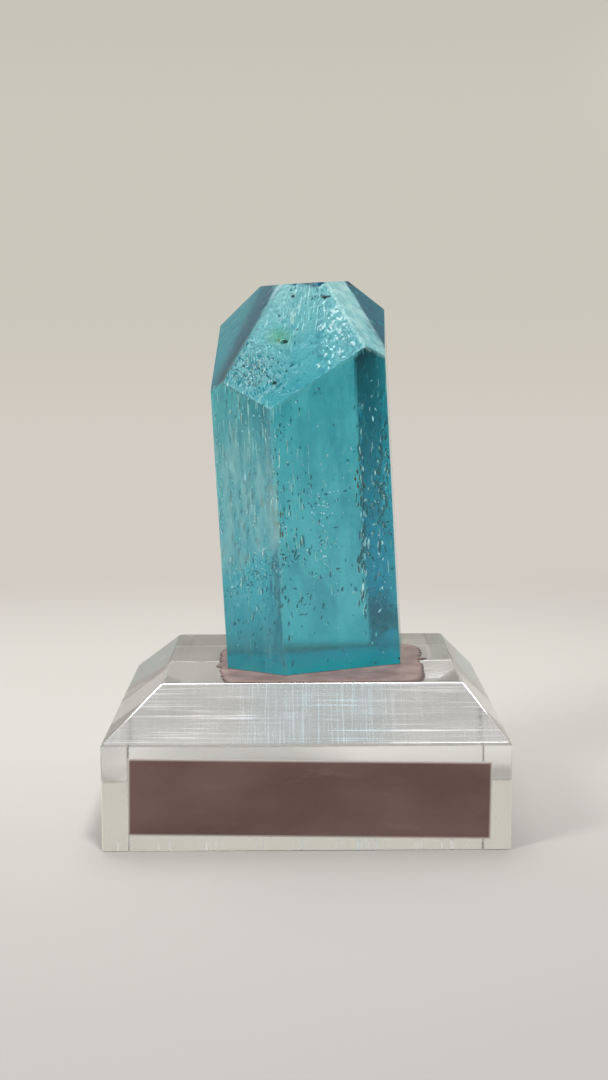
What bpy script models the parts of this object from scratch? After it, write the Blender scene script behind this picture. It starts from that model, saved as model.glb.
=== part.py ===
"""An aquamarine crystal standing on a clear acrylic display base, with its adhesive and its label.

Four pieces: the bevelled acrylic block, the blank label on its front, the thin pad of clear
adhesive on its top and the crystal itself. Lengths are in metres and +Z is up. The origin is
the middle of the block's underside, +X is to the right and the labelled front faces -Y.
"""

import math
import random

import bmesh
import bpy
from mathutils import Matrix, Vector

MM = 0.001
UP = Vector((0, 0, 1))

# The acrylic block: a square of 1 1/4 inch with four sawn bevels around its top.
BASE_WIDTH = 31.75 * MM
BASE_HEIGHT = 12.25 * MM
BEVEL_HEIGHT = 3.85 * MM
BEVEL_RUNS = {"front": 4.70 * MM, "back": 4.70 * MM, "left": 4.40 * MM, "right": 3.40 * MM}
POLISHED_EDGE = 0.22 * MM

# The label: a strip of 6 mm tape, stuck on slightly askew.
LABEL_WIDTH = 28.1 * MM
LABEL_HEIGHT = 6.1 * MM
LABEL_THICKNESS = 0.15 * MM
LABEL_CENTRE_X = 0.25 * MM
LABEL_CENTRE_Z = 4.12 * MM
LABEL_SKEW = math.radians(0.85)

# The adhesive pad, squeezed out furthest to the right, and the clearance between touching pieces.
PAD_THICKNESS = 0.35 * MM
PAD_SLOPE = 0.14 * MM
PAD_STEPS = 180
PAD_WAVE = 0.07 * MM
PAD_WAVE_COUNTS = (14, 23, 31, 44)
PAD_OUTLINE = [
    (8.79, 5.26), (9.40, 5.04), (9.82, 4.27), (10.04, 2.66), (9.90, -0.90), (10.33, -1.29),
    (9.84, -1.70), (9.72, -2.81), (9.69, -4.97), (9.79, -7.06), (9.64, -9.50), (9.18, -11.09),
    (8.60, -11.60), (0.0, -12.0), (-6.40, -11.60), (-6.80, -9.0), (-7.00, -5.42), (-7.39, -3.85),
    (-7.24, -3.20), (-7.38, -1.88), (-7.15, -0.52), (-7.39, 1.77), (-7.07, 3.34), (-6.20, 5.60),
    (-3.60, 8.20), (0.20, 9.60), (4.20, 9.70), (7.60, 7.50),
]
CLEARANCE = 0.1 * MM

# The crystal: a six-sided beryl prism. Every prism face turns 60 degrees from the last.
CRYSTAL_TURN = 26.3
CRYSTAL_LEAN_LEFT = 2.93
CRYSTAL_LEAN_FORWARD = 0.52
PRISM_DISTANCES = [8.87 * MM, 7.90 * MM, 8.18 * MM, 9.04 * MM, 6.63 * MM, 5.91 * MM]
TOP_DISTANCE = 31.63 * MM
# The angle between beryl's flat top and the diamond-shaped faces over its prism edges.
DIAMOND_SLOPE = 44.93
DIAMOND_DISTANCES = {
    "front": 22.28 * MM,
    "front_right": 24.54 * MM,
    "back_right": 26.66 * MM,
    "back": 26.30 * MM,
    "back_left": 24.99 * MM,
    "left": 22.59 * MM,
}
# A sliver that truncates the ridge between the front and left diamond faces.
SLIVER_SLOPE = 38.0
SLIVER_TIP = Vector((-2.95, -1.95, 29.0)) * MM
BLANK_SIZE = 100 * MM

# The etch pits of each kind of face: the sides of a pit, how many there are, how far they stay
# from the face's edges and from each other across and up, their widths, and their lengths.
ETCHING = {
    "diamond_front": {
        "sides": 5, "count": 80, "margin": 0.5 * MM, "apart": (0.6 * MM, 0.75 * MM),
        "widths": (0.26 * MM, 0.50 * MM), "lengths": (0.30 * MM, 0.60 * MM),
    },
    "diamond": {
        "sides": 6, "count": 9, "margin": 0.6 * MM, "apart": (0.6 * MM, 0.9 * MM),
        "widths": (0.22 * MM, 0.40 * MM), "lengths": (0.35 * MM, 0.64 * MM),
    },
    "prism": {
        "sides": 4, "count": 14, "margin": 2.6 * MM, "apart": (0.45 * MM, 4.6 * MM),
        "widths": (0.16 * MM, 0.30 * MM), "lengths": (1.2 * MM, 4.2 * MM),
    },
}
PIT_DEPTH_SHARE = 0.3
TRIES_PER_PIT = 60
# A pit's pyramid is this much larger than the pit, so that its base stands clear of the face.
PIT_OVERSIZE = 1.5

# Flakes broken from the ends of edges: the three faces that meet there and the flake's radius.
CHIPS = [
    (("diamond_front", "diamond_front_right", "prism_1"), 0.55 * MM),
    (("diamond_left", "prism_0", "prism_5"), 0.32 * MM),
    (("top", "diamond_front_right", "diamond_back_right"), 0.22 * MM),
    (("diamond_front", "diamond_left", "prism_0"), 0.40 * MM),
]

FIRST_SEED = 11


def clear_scene():
    for thing in list(bpy.data.objects):
        bpy.data.objects.remove(thing, do_unlink=True)


def make_material(name, colour, roughness, clearness=0.0, ior=1.5):
    """A Principled BSDF with a colour, a roughness and a share of light let through."""
    material = bpy.data.materials.new(name)
    material.use_nodes = True
    shader = material.node_tree.nodes["Principled BSDF"]
    shader.inputs["Base Color"].default_value = (*colour, 1.0)
    shader.inputs["Roughness"].default_value = roughness
    shader.inputs["Metallic"].default_value = 0.0
    shader.inputs["Transmission Weight"].default_value = clearness
    shader.inputs["IOR"].default_value = ior
    return material


def add_object(name, bm, collection, material=None):
    """Puts a bmesh into the scene as one named object."""
    mesh = bpy.data.meshes.new(name)
    bm.to_mesh(mesh)
    bm.free()
    thing = bpy.data.objects.new(name, mesh)
    collection.objects.link(thing)
    if material:
        mesh.materials.append(material)
    return thing


def make_cutter(thing):
    thing.hide_render = True
    thing.display_type = "WIRE"


def block_bmesh(width, depth, height, centre):
    """A rectangular block of the given size around a centre."""
    bm = bmesh.new()
    place = Matrix.Translation(centre) @ Matrix.Diagonal((width, depth, height, 1))
    bmesh.ops.create_cube(bm, size=1, matrix=place)
    return bm


def cut_away(bm, point, normal):
    """Removes what lies beyond a plane and closes the solid with one flat face there."""
    parts = bm.verts[:] + bm.edges[:] + bm.faces[:]
    cut = bmesh.ops.bisect_plane(
        bm, geom=parts, dist=1e-8, plane_co=point, plane_no=normal, clear_outer=True
    )
    rim = [part for part in cut["geom_cut"] if isinstance(part, bmesh.types.BMEdge)]
    if rim:
        bmesh.ops.edgeloop_fill(bm, edges=rim)
    bmesh.ops.recalc_face_normals(bm, faces=bm.faces[:])


def bevel_plane(side):
    """A point and the outward normal of the sawn bevel on one side of the block."""
    outward = {
        "front": Vector((0, -1, 0)),
        "back": Vector((0, 1, 0)),
        "left": Vector((-1, 0, 0)),
        "right": Vector((1, 0, 0)),
    }[side]
    point = outward * (BASE_WIDTH / 2) + UP * (BASE_HEIGHT - BEVEL_HEIGHT)
    normal = outward * BEVEL_HEIGHT + UP * BEVEL_RUNS[side]
    return point, normal.normalized()


def make_acrylic_base(collection):
    """The square block, its four bevels sawn and its edges eased by polishing."""
    centre = Vector((0, 0, BASE_HEIGHT / 2))
    bm = block_bmesh(BASE_WIDTH, BASE_WIDTH, BASE_HEIGHT, centre)
    for side in BEVEL_RUNS:
        cut_away(bm, *bevel_plane(side))
    material = make_material("clear_acrylic", (0.93, 0.93, 0.92), 0.05, 1.0, 1.49)
    base = add_object("acrylic_base", bm, collection, material)
    edges = base.modifiers.new("polished_edges", "BEVEL")
    edges.width = POLISHED_EDGE
    edges.segments = 2
    edges.limit_method = "ANGLE"
    edges.angle_limit = math.radians(20)
    return base


def make_label(collection):
    """The blank strip of label tape on the block's front."""
    bm = block_bmesh(LABEL_WIDTH, LABEL_THICKNESS, LABEL_HEIGHT, Vector((0, 0, 0)))
    material = make_material("label_tape", (0.75, 0.72, 0.69), 0.5)
    label = add_object("label", bm, collection, material)
    front = -BASE_WIDTH / 2 - CLEARANCE - LABEL_THICKNESS / 2
    label.location = (LABEL_CENTRE_X, front, LABEL_CENTRE_Z)
    label.rotation_euler = (0, LABEL_SKEW, 0)
    return label


def face_normal(azimuth, slope):
    """The outward normal of a crystal face. Azimuth 0 faces -Y and grows towards +X, and slope
    is the angle between the face and the crystal's flat top, both in degrees."""
    turn, tip = math.radians(azimuth), math.radians(slope)
    return Vector((math.sin(tip) * math.sin(turn), -math.sin(tip) * math.cos(turn), math.cos(tip)))


def crystal_faces():
    """Every growth face of the crystal as a name, an outward normal and a distance."""
    faces = []
    for number, distance in enumerate(PRISM_DISTANCES):
        azimuth = CRYSTAL_TURN + 60 * (number - 1)
        faces.append((f"prism_{number}", face_normal(azimuth, 90), distance))
    for number, (side, distance) in enumerate(DIAMOND_DISTANCES.items()):
        azimuth = CRYSTAL_TURN - 30 + 60 * number
        faces.append((f"diamond_{side}", face_normal(azimuth, DIAMOND_SLOPE), distance))
    faces.append(("top", UP, TOP_DISTANCE))
    ridge = face_normal(CRYSTAL_TURN - 60, SLIVER_SLOPE)
    faces.append(("sliver", ridge, ridge.dot(SLIVER_TIP)))
    return faces


def crystal_place():
    """Turns the crystal's own frame into the part's frame: it stands on the block and leans."""
    lean = Matrix.Rotation(math.radians(CRYSTAL_LEAN_FORWARD), 4, "X") @ Matrix.Rotation(
        math.radians(-CRYSTAL_LEAN_LEFT), 4, "Y"
    )
    return Matrix.Translation((0, 0, BASE_HEIGHT)) @ lean


def crystal_bmesh():
    """The whole crystal, bounded by its growth faces and sawn level at its foot."""
    bm = block_bmesh(BLANK_SIZE, BLANK_SIZE, BLANK_SIZE, Vector((0, 0, 0)))
    for _, normal, distance in crystal_faces():
        cut_away(bm, normal * distance, normal)
    bm.transform(crystal_place())
    foot = Vector((0, 0, BASE_HEIGHT + PAD_THICKNESS + 2 * CLEARANCE))
    cut_away(bm, foot, -UP)
    return bm


def find_face(bm, normal):
    """The flat face of a bmesh that looks along a direction."""
    return max(bm.faces, key=lambda face: face.normal.dot(normal))


def spots_on_face(face, etching, chance, dice):
    """Points scattered on a flat face, clear of its edges and, by a spacing across and up the
    face, of each other. The chance of keeping one is a function of its shares across and up."""
    corners = [loop.vert.co.copy() for loop in face.loops]
    up = (UP - face.normal * face.normal.z).normalized()
    across = up.cross(face.normal)
    centre = face.calc_center_median()
    flat = [((c - centre).dot(across), (c - centre).dot(up)) for c in corners]
    low = [min(values) for values in zip(*flat)]
    high = [max(values) for values in zip(*flat)]
    apart_across, apart_up = etching["apart"]
    spots = []
    for _ in range(etching["count"] * TRIES_PER_PIT):
        if len(spots) == etching["count"]:
            break
        share = (dice.random(), dice.random())
        spot = centre
        spot = spot + across * (low[0] + share[0] * (high[0] - low[0]))
        spot = spot + up * (low[1] + share[1] * (high[1] - low[1]))
        inside = all(
            face.normal.cross(after - before).normalized().dot(spot - before) > etching["margin"]
            for before, after in zip(corners, corners[1:] + corners[:1])
        )
        apart = all(
            abs((spot - other).dot(across)) > apart_across or abs((spot - other).dot(up)) > apart_up
            for other in spots
        )
        if inside and apart and dice.random() < chance(*share):
            spots.append(spot)
    return spots


def add_pit(bm, centre, normal, up, sides, width, length):
    """Adds a pyramid, point inwards, that a cut turns into a tapered pit or groove."""
    across = up.cross(normal).normalized()
    along = normal.cross(across)
    turn = Matrix((across, along, normal)).transposed().to_4x4()
    depth = PIT_DEPTH_SHARE * width
    size = Matrix.Diagonal(Vector((width / 2, length / 2, depth)) * PIT_OVERSIZE).to_4x4()
    # The pyramid hangs point down, with a third of its height above the face.
    overhang = Matrix.Rotation(math.pi, 4, "X") @ Matrix.Translation((0, 0, 1 / 2 - 1 / 3))
    spin = Matrix.Rotation(math.pi / sides, 4, "Z")
    place = Matrix.Translation(centre) @ turn @ size @ overhang @ spin
    bmesh.ops.create_cone(
        bm, cap_ends=True, segments=sides, radius1=1, radius2=0, depth=1, matrix=place
    )


def crowded_corners(across, up):
    """The front face is etched most at its lower left and along its right side."""
    lower_left = math.exp(-((across - 0.22) ** 2 + (up - 0.35) ** 2) / 0.04)
    right_side = math.exp(-((across - 0.72) ** 2) / 0.02 - (up - 0.55) ** 2 / 0.12)
    return 0.12 + 0.88 * max(lower_left, right_side)


def evenly(across, up):
    return 1.0


def face_etching(name):
    """The etching of a growth face, or None for a face that stayed smooth."""
    return ETCHING.get(name, ETCHING.get(name.split("_")[0]))


def etch_cutter(collection, body):
    """One cutter with the etch pits of the sloping faces and the grooves of the prism faces."""
    place = crystal_place().to_3x3()
    up = place @ UP
    bm = bmesh.new()
    dice = random.Random(FIRST_SEED)
    for name, normal, _ in crystal_faces():
        etching = face_etching(name)
        if etching is None:
            continue
        outward = place @ normal
        chance = crowded_corners if name == "diamond_front" else evenly
        for spot in spots_on_face(find_face(body, outward), etching, chance, dice):
            width = dice.uniform(*etching["widths"])
            length = dice.uniform(*etching["lengths"])
            add_pit(bm, spot, outward, up, etching["sides"], width, length)
    cutter = add_object("etch_cutter", bm, collection)
    make_cutter(cutter)
    return cutter


def chip_cutter(collection):
    """Flakes broken from the ends of the crystal's edges, as scooped hollows."""
    place = crystal_place()
    planes = {name: (normal, distance) for name, normal, distance in crystal_faces()}
    bm = bmesh.new()
    for names, radius in CHIPS:
        rows = Matrix([planes[name][0] for name in names])
        distances = Vector([planes[name][1] for name in names])
        corner = place @ (rows.inverted() @ distances)
        bmesh.ops.create_icosphere(bm, subdivisions=2, radius=radius, matrix=Matrix.Translation(corner))
    cutter = add_object("chip_cutter", bm, collection)
    make_cutter(cutter)
    return cutter


def make_crystal(collection, cutters):
    """The aquamarine, with its etch pits, growth grooves and chipped corners cut in."""
    body = crystal_bmesh()
    tools = [etch_cutter(cutters, body), chip_cutter(cutters)]
    material = make_material("aquamarine", (0.10, 0.56, 0.60), 0.04, 0.9, 1.577)
    crystal = add_object("aquamarine_crystal", body, collection, material)
    for tool in tools:
        cut = crystal.modifiers.new(tool.name, "BOOLEAN")
        cut.operation = "DIFFERENCE"
        cut.solver = "EXACT"
        cut.object = tool
    return crystal


def outline_reach(angle):
    """How far the adhesive's outline lies from the middle in one direction."""
    way = Vector((math.cos(angle), math.sin(angle)))
    corners = [Vector(corner) * MM for corner in PAD_OUTLINE]
    for before, after in zip(corners, corners[1:] + corners[:1]):
        if way.cross(before) <= 0 < way.cross(after):
            return before.cross(after) / way.cross(after - before)
    raise ValueError("the outline does not go round the middle")


def make_glue_pad(collection):
    """The thin clear adhesive under the crystal, squeezed out to a ragged edge."""
    dice = random.Random(FIRST_SEED)
    phases = [dice.uniform(0, 2 * math.pi) for _ in PAD_WAVE_COUNTS]
    front_edge = -BASE_WIDTH / 2 + BEVEL_RUNS["front"] + 2 * CLEARANCE
    low = BASE_HEIGHT + CLEARANCE
    # Each ring is drawn in by a share of the slope and lifted by a share of the thickness.
    levels = [(0.0, 0.0), (0.0, 0.35), (1.0, 1.0)]
    bm = bmesh.new()
    rings = []
    for drawn_in, lift in levels:
        ring = []
        for step in range(PAD_STEPS):
            angle = 2 * math.pi * step / PAD_STEPS
            waves = sum(math.sin(n * angle + phase) for n, phase in zip(PAD_WAVE_COUNTS, phases))
            reach = outline_reach(angle) + PAD_WAVE * waves - drawn_in * PAD_SLOPE
            y = max(reach * math.sin(angle), front_edge + drawn_in * PAD_SLOPE)
            ring.append(bm.verts.new((reach * math.cos(angle), y, low + lift * PAD_THICKNESS)))
        rings.append(ring)
    for lower, upper in zip(rings, rings[1:]):
        for step in range(PAD_STEPS):
            after = (step + 1) % PAD_STEPS
            bm.faces.new((lower[step], lower[after], upper[after], upper[step]))
    bm.faces.new(reversed(rings[0]))
    bm.faces.new(rings[-1])
    bmesh.ops.recalc_face_normals(bm, faces=bm.faces[:])
    material = make_material("clear_adhesive", (0.86, 0.84, 0.82), 0.15, 0.9, 1.49)
    return add_object("glue_pad", bm, collection, material)


def main():
    clear_scene()
    pieces = bpy.data.collections.new("aquamarine_on_stand")
    cutters = bpy.data.collections.new("cutters")
    for collection in (pieces, cutters):
        bpy.context.scene.collection.children.link(collection)
    make_acrylic_base(pieces)
    make_label(pieces)
    make_glue_pad(pieces)
    make_crystal(pieces, cutters)


main()
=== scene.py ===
# %% [markdown]
# # An aquamarine crystal on its display base
# A six-sided crystal of blue-green beryl stands on a small square block of clear acrylic. Clear
# adhesive holds it, and a blank label is stuck on the block's front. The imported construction
# gives every piece its place; this lesson dresses it: fine relief, inclusions, scratches, glass.

# %% Load the frame
import math

import bpy
import numpy as np
from mathutils import Matrix, Vector


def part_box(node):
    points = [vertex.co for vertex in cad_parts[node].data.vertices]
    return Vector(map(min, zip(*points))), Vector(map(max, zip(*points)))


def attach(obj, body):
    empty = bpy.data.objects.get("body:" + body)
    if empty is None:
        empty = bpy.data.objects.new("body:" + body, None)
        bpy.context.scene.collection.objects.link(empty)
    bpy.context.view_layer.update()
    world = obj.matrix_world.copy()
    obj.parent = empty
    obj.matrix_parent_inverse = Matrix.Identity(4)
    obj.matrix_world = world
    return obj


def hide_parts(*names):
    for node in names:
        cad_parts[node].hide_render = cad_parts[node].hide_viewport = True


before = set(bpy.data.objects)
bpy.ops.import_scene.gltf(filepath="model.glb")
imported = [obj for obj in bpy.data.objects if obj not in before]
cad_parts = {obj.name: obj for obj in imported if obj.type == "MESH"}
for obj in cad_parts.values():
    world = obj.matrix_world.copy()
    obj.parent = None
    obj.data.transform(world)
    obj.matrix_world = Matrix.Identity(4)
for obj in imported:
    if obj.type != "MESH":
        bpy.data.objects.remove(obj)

MM = 0.001
UP = np.array([0.0, 0.0, 1.0])
FIRST_SEED = 7
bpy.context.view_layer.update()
base_high = np.array(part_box("acrylic_base")[1])
label_low, label_high = (np.array(corner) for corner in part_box("label"))

# %% [markdown]
# ## The camera
# The camera stands 15 centimetres in front of the crystal and a little above it. Its place and its
# three turns were found by fitting the block's corners and the crystal's edges, so the picture can
# be compared with the real thing point by point.

# %% Place the camera
CAMERA_PLACE = Vector((-0.40, -145.70, 40.12)) * MM
CAMERA_TURN = math.radians(0.135)
CAMERA_DIP = math.radians(6.971)
CAMERA_ROLL = math.radians(0.279)
CAMERA_LENS = 57.5
camera = bpy.data.objects.new("camera", bpy.data.cameras.new("camera"))
camera.data.lens = CAMERA_LENS
camera.data.sensor_width = 36
camera.data.clip_start = 1 * MM
camera.data.clip_end = 10
ahead = Matrix.Rotation(-CAMERA_TURN, 4, "Z") @ Matrix.Rotation(math.radians(90) - CAMERA_DIP, 4, "X")
camera.matrix_world = Matrix.Translation(CAMERA_PLACE) @ ahead @ Matrix.Rotation(-CAMERA_ROLL, 4, "Z")
bpy.context.scene.collection.objects.link(camera)
bpy.context.scene.camera = camera
print("camera at", tuple(round(value / MM, 1) for value in camera.location))

# %% [markdown]
# ## A notation for finishes
# A finish is a web of small nodes, and sums are easier to read as sums. The class below wraps one
# socket, so that `1 - mask * 0.5` adds the Math nodes it needs. Every other kind of node comes from
# one method, which takes the node's type, its settings and what goes into its sockets.

# %% Make the notation
class Socket:
    """One output socket. Arithmetic on it adds a Math node and gives that node's output."""

    def __init__(self, finish, socket):
        self.finish = finish
        self.socket = socket

    def math(self, operation, *values):
        return self.finish.node("ShaderNodeMath", {"operation": operation}, dict(enumerate(values)))

    def __add__(self, other):
        return self.math("ADD", self, other)

    def __sub__(self, other):
        return self.math("SUBTRACT", self, other)

    def __rsub__(self, other):
        return self.math("SUBTRACT", other, self)

    def __mul__(self, other):
        return self.math("MULTIPLY", self, other)

    __radd__ = __add__
    __rmul__ = __mul__

    def step(self, low, high):
        """0 below low, 1 above high, and a smooth rise between them."""
        settings = {"interpolation_type": "SMOOTHSTEP"}
        return self.finish.node("ShaderNodeMapRange", settings, {0: self, 1: low, 2: high})


class Finish:
    """A material round one Principled BSDF, whose nodes are added by calls."""

    def __init__(self, name, **constants):
        self.material = bpy.data.materials.new(name)
        self.material.use_nodes = True
        self.tree = self.material.node_tree
        self.surface = self.tree.nodes["Principled BSDF"]
        self.end = self.tree.nodes["Material Output"]
        self.feed(self.surface, {key.replace("_", " "): value for key, value in constants.items()})

    def feed(self, node, sockets):
        """Gives each named socket a link or a constant value."""
        for key, value in sockets.items():
            if isinstance(value, Socket):
                self.tree.links.new(value.socket, node.inputs[key])
            else:
                node.inputs[key].default_value = value

    def node(self, kind, settings, sockets, output=0):
        """Adds any node: its type, its settings (set first) and its sockets."""
        made = self.tree.nodes.new(kind)
        for key, value in settings.items():
            setattr(made, key, value)
        self.feed(made, sockets)
        return Socket(self, made.outputs[output])

    def place(self, scale=(1, 1, 1), turn=(0, 0, 0)):
        """The point on the piece, in metres, scaled and turned."""
        sockets = {"Vector": self.point(), "Scale": scale, "Rotation": turn}
        return self.node("ShaderNodeMapping", {}, sockets)

    def noise(self, place, size, detail=2.0, roughness=0.5):
        """Cloudy noise from 0 to 1, whose lumps are about `size` metres across."""
        sockets = {"Vector": place, "Scale": 1 / size, "Detail": detail, "Roughness": roughness}
        return self.node("ShaderNodeTexNoise", {}, sockets, "Fac")

    def point(self):
        """The point on the piece, in metres, as a vector."""
        return self.node("ShaderNodeTexCoord", {}, {}, "Object")

    def part(self, axis):
        """The point's x, y or z, in metres, for axis 0, 1 or 2."""
        return self.node("ShaderNodeSeparateXYZ", {}, {0: self.point()}, axis)

    def from_spot(self, spot):
        """How far the point is from a spot, in metres."""
        sockets = {0: self.point(), 1: spot}
        return self.node("ShaderNodeVectorMath", {"operation": "DISTANCE"}, sockets, "Value")

    def along_way(self, way):
        """How far the point lies along a direction, in metres: way . p."""
        sockets = {0: self.point(), 1: way}
        return self.node("ShaderNodeVectorMath", {"operation": "DOT_PRODUCT"}, sockets, "Value")

    def attribute(self, name):
        """A number kept on the mesh's points."""
        return self.node("ShaderNodeAttribute", {"attribute_name": name}, {}, "Fac")

    def bump(self, height, depth, under=None):
        """Relief of a depth in metres, shaded and not modelled, over any relief under it."""
        sockets = {"Height": height, "Distance": depth, "Strength": 1.0}
        if under is not None:
            sockets["Normal"] = under
        return self.node("ShaderNodeBump", {}, sockets, "Normal")

    def mix(self, factor, first, second):
        """A blend of two colours."""
        settings = {"data_type": "RGBA"}
        return self.node("ShaderNodeMix", settings, {0: factor, 6: first, 7: second}, 2)

    def near_plane(self, normal, distance):
        """1 on the plane normal . p = distance, and 0 beyond 0.05 mm from it."""
        gap = self.along_way(normal) - distance
        return 1 - gap.math("ABSOLUTE", gap).step(0.02 * MM, 0.05 * MM)

    def whiten(self, factor, colour, let_through=0.5):
        """Lays a matt film over the piece, as thick as the factor says. A share of the light that
        it scatters comes through it, and the rest is thrown back."""
        matt = self.node("ShaderNodeBsdfDiffuse", {}, {"Color": colour})
        glowing = self.node("ShaderNodeBsdfTranslucent", {}, {"Color": colour})
        film = self.node("ShaderNodeMixShader", {}, {0: let_through, 1: matt, 2: glowing})
        clear = Socket(self, self.surface.outputs["BSDF"])
        both = self.node("ShaderNodeMixShader", {}, {0: factor, 1: clear, 2: film})
        self.feed(self.end, {"Surface": both})

    def soak(self, colour, density):
        """Fills the piece with a clear volume that takes up light."""
        volume = self.tree.nodes.new("ShaderNodeVolumeAbsorption")
        volume.inputs["Color"].default_value = (*colour, 1.0)
        volume.inputs["Density"].default_value = density
        self.tree.links.new(volume.outputs["Volume"], self.end.inputs["Volume"])


def add_piece(name, points, faces, finish, smooth=True):
    """Puts arrays of points and faces into a mesh that rides on the one body."""
    mesh = bpy.data.meshes.new(name)
    parts = faces if isinstance(faces, list) else [faces]
    faces = [corners for part in parts for corners in part.tolist()]
    mesh.from_pydata(points.tolist(), [], faces)
    mesh.polygons.foreach_set("use_smooth", np.full(len(faces), smooth))
    mesh.materials.append(finish.material)
    mesh.update()
    piece = bpy.data.objects.new(name, mesh)
    bpy.context.scene.collection.objects.link(piece)
    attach(piece, "root")
    print(name, len(points), "points", len(faces), "faces")
    return piece


def grid_faces(rows, columns, round_rows=False, round_columns=False):
    """The four-sided faces of a grid of points, closed round in either direction if asked."""
    row = np.arange(rows if round_rows else rows - 1)[:, None]
    column = np.arange(columns if round_columns else columns - 1)[None, :]
    after_row = (row + 1) % rows
    after_column = (column + 1) % columns
    corners = [row * columns + column, row * columns + after_column]
    corners += [after_row * columns + after_column, after_row * columns + column]
    return np.stack([np.broadcast_to(part, corners[0].shape) for part in corners], axis=-1).reshape(-1, 4)


print("the notation is ready")

# %% [markdown]
# ## The room
# The real crystal was lit from behind, against a pale plain wall. Glass shows only what stands
# round it, so the room matters as much as the crystal: a pale round sweep, bright behind the
# crystal and dim on the camera's side, gives the clear faces their glow and the turned ones their
# depth. A few rays followed through the crystal told which part of the room each face shows, and
# a card at the right front brings light into its dark right edge. The sweep is one
# profile, a floor that curves up into a wall, turned about the middle.

# %% Make the sweep
SWEEP_FLAT = 0.26
SWEEP_CURVE = 0.16
SWEEP_WALL = 0.9
SWEEP_DROP = 0.05 * MM
SWEEP_POINTS = 96
SWEEP_RADII = [0.002, 0.05, 0.15]
BEND_POINTS = 24
FLOOR_DIM = (0.43, 0.42, 0.40, 1)
# Painted light: the floor's colour is lighter in a soft pool round a spot behind the block.
FLOOR_PAINTED_POOL = (0.60, 0.58, 0.55, 1)
PAINTED_POOL_SPOT = (-0.01, 0.06, 0)
PAINTED_POOL_EDGE = (0.03, 0.13)
FLOOR_REACH = (0.24, 0.30)
FLOOR_BACK = (0.06, 0.16)
CARD_SPOT = (0.17, -0.13, 0)
CARD_SPOT_EDGE = (0.09, 0.17)
CARD_WHITE = (0.74, 0.71, 0.66, 1)
CARD_LOW = (0.76, 0.78, 0.66, 1)
CARD_GREY = (0.24, 0.26, 0.20, 1)
WALL_BACK = (0.60, 0.57, 0.50, 1)
WALL_LOW = (0.66, 0.61, 0.56, 1)
WALL_HIGH = (0.42, 0.41, 0.38, 1)
WALL_DARK = (0.14, 0.14, 0.11, 1)
WALL_BRIGHT = (0.86, 0.84, 0.74, 1)
BRIGHT_WAY = (0.77, 0.64, 0)
BRIGHT_FROM = (0.32, 0.40)
BRIGHT_TOP = (0.10, 0.16)
BACK_FROM = (0.0, 0.05)
HIGH_FROM = (0.10, 0.26)
FRONT_FROM = (-0.22, -0.04)
CARD_TOP = (0.003, 0.025)
CARD_BACK = (-0.12, 0.10)
CARD_LEFT = (0.15, 0.26)


def sweep_profile():
    """Radius and height along the profile: a flat run, a quarter circle, then a straight wall."""
    bend = np.linspace(0, math.pi / 2, BEND_POINTS)
    radius = np.concatenate([SWEEP_RADII, SWEEP_FLAT + SWEEP_CURVE * np.sin(bend)])
    height = np.concatenate([np.zeros(len(SWEEP_RADII)), SWEEP_CURVE * (1 - np.cos(bend))])
    return np.append(radius, radius[-1]), np.append(height, SWEEP_WALL) - SWEEP_DROP


def wall_paint(paint):
    """The wall's glow, as layers: back, high, front, the card at the right front, the bright panel.
    Each layer fades in between two heights or two distances."""
    right, back, height = (paint.part(axis) for axis in range(3))
    colour = paint.mix(height.step(*BACK_FROM), WALL_LOW, WALL_BACK)
    colour = paint.mix(height.step(*HIGH_FROM), colour, WALL_HIGH)
    colour = paint.mix(back.step(*FRONT_FROM), WALL_DARK, colour)
    card = paint.mix(height.step(*CARD_TOP), CARD_LOW, CARD_GREY)
    colour = paint.mix((1 - back.step(*CARD_BACK)) * right.step(*CARD_LEFT), colour, card)
    panel = paint.along_way(BRIGHT_WAY).step(*BRIGHT_FROM) * (1 - height.step(*BRIGHT_TOP))
    return paint.mix(panel, colour, WALL_BRIGHT)


def sweep_paint():
    """A matt floor with a painted pool of light behind the block, lighter on the card too, that turns into
    the glowing wall.
    """
    paint = Finish("pale_sweep")
    # Painted light: 0 inside the pool behind the block, 1 outside it.
    outside_painted_pool = paint.from_spot(PAINTED_POOL_SPOT).step(*PAINTED_POOL_EDGE)
    card = paint.from_spot(CARD_SPOT).step(*CARD_SPOT_EDGE)
    colour = paint.mix(card, CARD_WHITE, paint.mix(outside_painted_pool, FLOOR_PAINTED_POOL, FLOOR_DIM))
    floor = paint.node("ShaderNodeBsdfDiffuse", {}, {"Color": colour})
    wall = paint.node("ShaderNodeEmission", {}, {"Color": wall_paint(paint)})
    near_middle = 1 - paint.from_spot((0, 0, 0)).step(*FLOOR_REACH)
    is_floor = near_middle * (1 - paint.part(1).step(*FLOOR_BACK))
    both = paint.node("ShaderNodeMixShader", {}, {0: is_floor, 1: wall, 2: floor})
    paint.feed(paint.end, {"Surface": both})
    return paint


def make_sweep():
    """Every point of the profile goes once round: (r cos a, r sin a, h)."""
    radius, height = sweep_profile()
    angle = np.linspace(0, 2 * math.pi, SWEEP_POINTS, endpoint=False)
    x = radius[:, None] * np.cos(angle)
    y = radius[:, None] * np.sin(angle)
    z = np.broadcast_to(height[:, None], x.shape)
    mesh = bpy.data.meshes.new("sweep")
    points = np.stack([x, y, z], axis=-1).reshape(-1, 3)
    faces = grid_faces(len(radius), SWEEP_POINTS, round_columns=True)[:, ::-1].tolist()
    mesh.from_pydata(points.tolist(), [], faces + [list(range(SWEEP_POINTS))])
    mesh.polygons.foreach_set("use_smooth", np.full(len(mesh.polygons), True))
    mesh.materials.append(sweep_paint().material)
    sweep = bpy.data.objects.new("sweep", mesh)
    bpy.context.scene.collection.objects.link(sweep)


make_sweep()

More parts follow.
